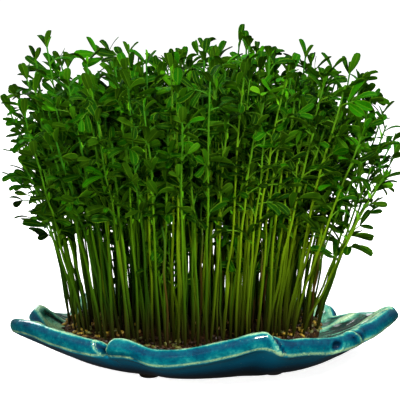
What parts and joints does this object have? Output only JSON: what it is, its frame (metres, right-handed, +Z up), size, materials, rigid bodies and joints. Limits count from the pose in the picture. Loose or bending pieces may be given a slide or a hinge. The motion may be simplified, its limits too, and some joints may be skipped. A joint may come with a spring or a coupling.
{
  "type": "tray of lentil sprouts",
  "caption": "Leafy lentil sprouts standing in a mat of their own roots, in a free-form turquoise ceramic dish with a pleated rim and stub feet.",
  "frame": {"origin": "on the surface that the tray stands on, under the middle of the whole object's box", "axes": "+X along the dish's long side to the right, +Y away from the front, +Z up"},
  "size_m": [0.2596, 0.1918, 0.2216],
  "materials": {
    "glaze": "gloss",
    "roots": "matte",
    "seeds": "satin",
    "sprouts": "satin"
  },
  "bodies": {
    "root": {"dish": "glaze", "root_mat": "roots", "seed_01": "seeds", "seed_02": "seeds", "seed_03": "seeds", "seed_04": "seeds", "seed_05": "seeds", "seed_06": "seeds", "seed_07": "seeds", "sprout_01": "sprouts", "sprout_02": "sprouts", "sprout_03": "sprouts", "sprout_04": "sprouts", "sprout_05": "sprouts", "sprout_06": "sprouts", "sprout_07": "sprouts", "sprout_08": "sprouts", "sprout_09": "sprouts", "sprout_10": "sprouts", "sprout_11": "sprouts", "sprout_12": "sprouts", "sprout_13": "sprouts", "sprout_14": "sprouts", "sprout_15": "sprouts", "sprout_16": "sprouts", "sprout_17": "sprouts", "sprout_18": "sprouts", "sprout_19": "sprouts", "sprout_20": "sprouts", "sprout_21": "sprouts", "sprout_22": "sprouts", "sprout_23": "sprouts", "sprout_24": "sprouts", "sprout_25": "sprouts", "sprout_26": "sprouts", "sprout_27": "sprouts", "sprout_28": "sprouts", "sprout_29": "sprouts", "sprout_30": "sprouts", "sprout_31": "sprouts", "sprout_32": "sprouts", "sprout_33": "sprouts", "sprout_34": "sprouts", "sprout_35": "sprouts", "sprout_36": "sprouts", "sprout_37": "sprouts", "sprout_38": "sprouts", "sprout_39": "sprouts", "sprout_40": "sprouts", "sprout_41": "sprouts", "sprout_42": "sprouts", "sprout_43": "sprouts", "sprout_44": "sprouts", "sprout_45": "sprouts", "sprout_46": "sprouts"}
  },
  "joints": []
}
